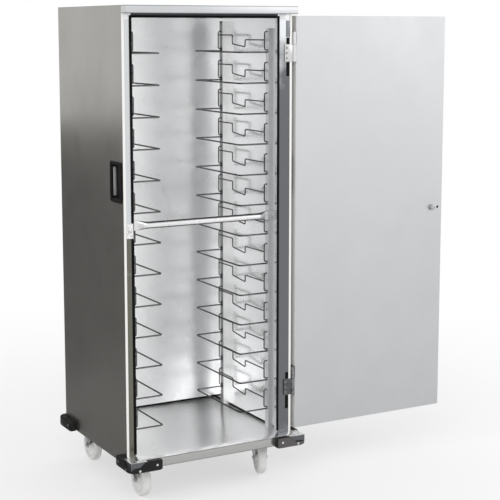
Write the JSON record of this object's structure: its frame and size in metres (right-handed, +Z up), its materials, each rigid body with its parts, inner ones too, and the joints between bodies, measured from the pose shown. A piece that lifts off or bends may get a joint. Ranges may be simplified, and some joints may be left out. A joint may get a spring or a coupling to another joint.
{
  "type": "enclosed bun pan rack",
  "caption": "Tall enclosed sheet steel rack on swivel casters with wire pan slides, one hinged door, a turn latch and corner bumpers.",
  "frame": {"origin": "on the floor under the middle of the cabinet body", "axes": "+Z up, +Y to the back, so the door opening faces -Y; +X to the right seen from the front, on the hinge side"},
  "size_m": [1.416, 0.712, 1.79],
  "materials": {
    "stainless_satin": "satin",
    "stainless_polished": "polished",
    "chrome_wire": "bright",
    "black_rubber": "matte",
    "black_plastic": "satin",
    "caster_nylon": "satin",
    "zinc_steel": "zinc plated"
  },
  "bodies": {
    "cabinet": {"base_platform": "stainless_satin", "base_channels": "stainless_satin", "side_panel_left": "stainless_satin", "side_panel_right": "stainless_satin", "back_panel": "stainless_satin", "roof_canopy": "stainless_satin", "liner_left": "stainless_polished", "liner_right": "stainless_polished", "liner_back": "stainless_polished", "ceiling_liner": "stainless_satin", "wall_ribs": "stainless_satin", "latch_post": "stainless_polished", "hinge_post": "stainless_polished", "door_header": "stainless_satin", "door_gasket": "black_rubber", "cross_bar": "stainless_polished", "rack_uprights": "stainless_polished", "pan_rails_left": "chrome_wire", "pan_rails_right": "chrome_wire", "pan_guides_left": "chrome_wire", "pan_guides_right": "chrome_wire", "corner_bumpers_front": "black_rubber", "corner_bumpers_back": "black_rubber", "corner_caps": "stainless_polished", "strike_plate": "stainless_polished", "keeper_stud": "stainless_polished", "side_handle_left": "black_plastic", "side_handle_right": "black_plastic", "hinge_frame_leaves": "stainless_polished", "hinge_pins": "stainless_polished", "caster_plates": "zinc_steel"},
    "door": {"door_outer_skin": "stainless_satin", "door_inner_skin": "stainless_satin", "door_stiffeners": "stainless_satin", "hinge_door_leaves": "stainless_polished", "latch_case": "stainless_satin", "latch_rosette": "stainless_polished"},
    "latch_lever": {"latch_handle": "stainless_polished", "latch_spindle": "stainless_polished", "release_knob": "stainless_polished"},
    "latch_blade": {"latch_blade": "stainless_satin"},
    "fork_fl": {"caster_fork_fl": "zinc_steel"},
    "wheel_fl": {"caster_wheel_fl": "caster_nylon"},
    "pedal_fl": {"brake_pedal_fl": "zinc_steel"},
    "fork_fr": {"caster_fork_fr": "zinc_steel"},
    "wheel_fr": {"caster_wheel_fr": "caster_nylon"},
    "pedal_fr": {"brake_pedal_fr": "zinc_steel"},
    "fork_bl": {"caster_fork_bl": "zinc_steel"},
    "wheel_bl": {"caster_wheel_bl": "caster_nylon"},
    "pedal_bl": {"brake_pedal_bl": "zinc_steel"},
    "fork_br": {"caster_fork_br": "zinc_steel"},
    "wheel_br": {"caster_wheel_br": "caster_nylon"},
    "pedal_br": {"brake_pedal_br": "zinc_steel"}
  },
  "joints": [
    {"name": "door_swing", "type": "hinge", "parent": "cabinet", "child": "door", "pos_m": [0.352, -0.303, 1], "axis": [0, 0, 1], "range_deg": [-180, 0]},
    {"name": "latch_turn", "type": "hinge", "parent": "door", "child": "latch_lever", "pos_m": [0.997, -0.302, 1], "axis": [0, 1, 0], "range_deg": [0, 90]},
    {"name": "blade_slide", "type": "slide", "parent": "door", "child": "latch_blade", "axis": [0, 0, -1], "range_m": [0, 0.0198]},
    {"name": "swivel_fl", "type": "hinge", "parent": "cabinet", "child": "fork_fl", "pos_m": [-0.258, -0.195, 0.14], "axis": [0, 0, 1], "continuous": true},
    {"name": "wheel_spin_fl", "type": "hinge", "parent": "fork_fl", "child": "wheel_fl", "pos_m": [-0.258, -0.233, 0.0625], "axis": [1, 0, 0], "continuous": true},
    {"name": "brake_fl", "type": "hinge", "parent": "fork_fl", "child": "pedal_fl", "pos_m": [-0.258, -0.255, 0.126], "axis": [1, 0, 0], "range_deg": [0, 20]},
    {"name": "swivel_fr", "type": "hinge", "parent": "cabinet", "child": "fork_fr", "pos_m": [0.258, -0.195, 0.14], "axis": [0, 0, 1], "continuous": true},
    {"name": "wheel_spin_fr", "type": "hinge", "parent": "fork_fr", "child": "wheel_fr", "pos_m": [0.24689, -0.23134, 0.0625], "axis": [0.9563, -0.2924, 0], "continuous": true},
    {"name": "brake_fr", "type": "hinge", "parent": "fork_fr", "child": "pedal_fr", "pos_m": [0.24046, -0.25238, 0.126], "axis": [0.9563, -0.2924, 0], "range_deg": [0, 20]},
    {"name": "swivel_bl", "type": "hinge", "parent": "cabinet", "child": "fork_bl", "pos_m": [-0.258, 0.195, 0.14], "axis": [0, 0, 1], "continuous": true},
    {"name": "wheel_spin_bl", "type": "hinge", "parent": "fork_bl", "child": "wheel_bl", "pos_m": [-0.258, 0.233, 0.0625], "axis": [-1, 0, 0], "continuous": true},
    {"name": "brake_bl", "type": "hinge", "parent": "fork_bl", "child": "pedal_bl", "pos_m": [-0.258, 0.255, 0.126], "axis": [-1, 0, 0], "range_deg": [0, 20]},
    {"name": "swivel_br", "type": "hinge", "parent": "cabinet", "child": "fork_br", "pos_m": [0.258, 0.195, 0.14], "axis": [0, 0, 1], "continuous": true},
    {"name": "wheel_spin_br", "type": "hinge", "parent": "fork_br", "child": "wheel_br", "pos_m": [0.26197, 0.23279, 0.0625], "axis": [-0.9945, 0.1045, 0], "continuous": true},
    {"name": "brake_br", "type": "hinge", "parent": "fork_br", "child": "pedal_br", "pos_m": [0.26427, 0.25467, 0.126], "axis": [-0.9945, 0.1045, 0], "range_deg": [0, 20]}
  ],
  "couplings": [
    {"joint": "blade_slide", "follows": "latch_turn", "m_per_rad": 0.0126}
  ]
}
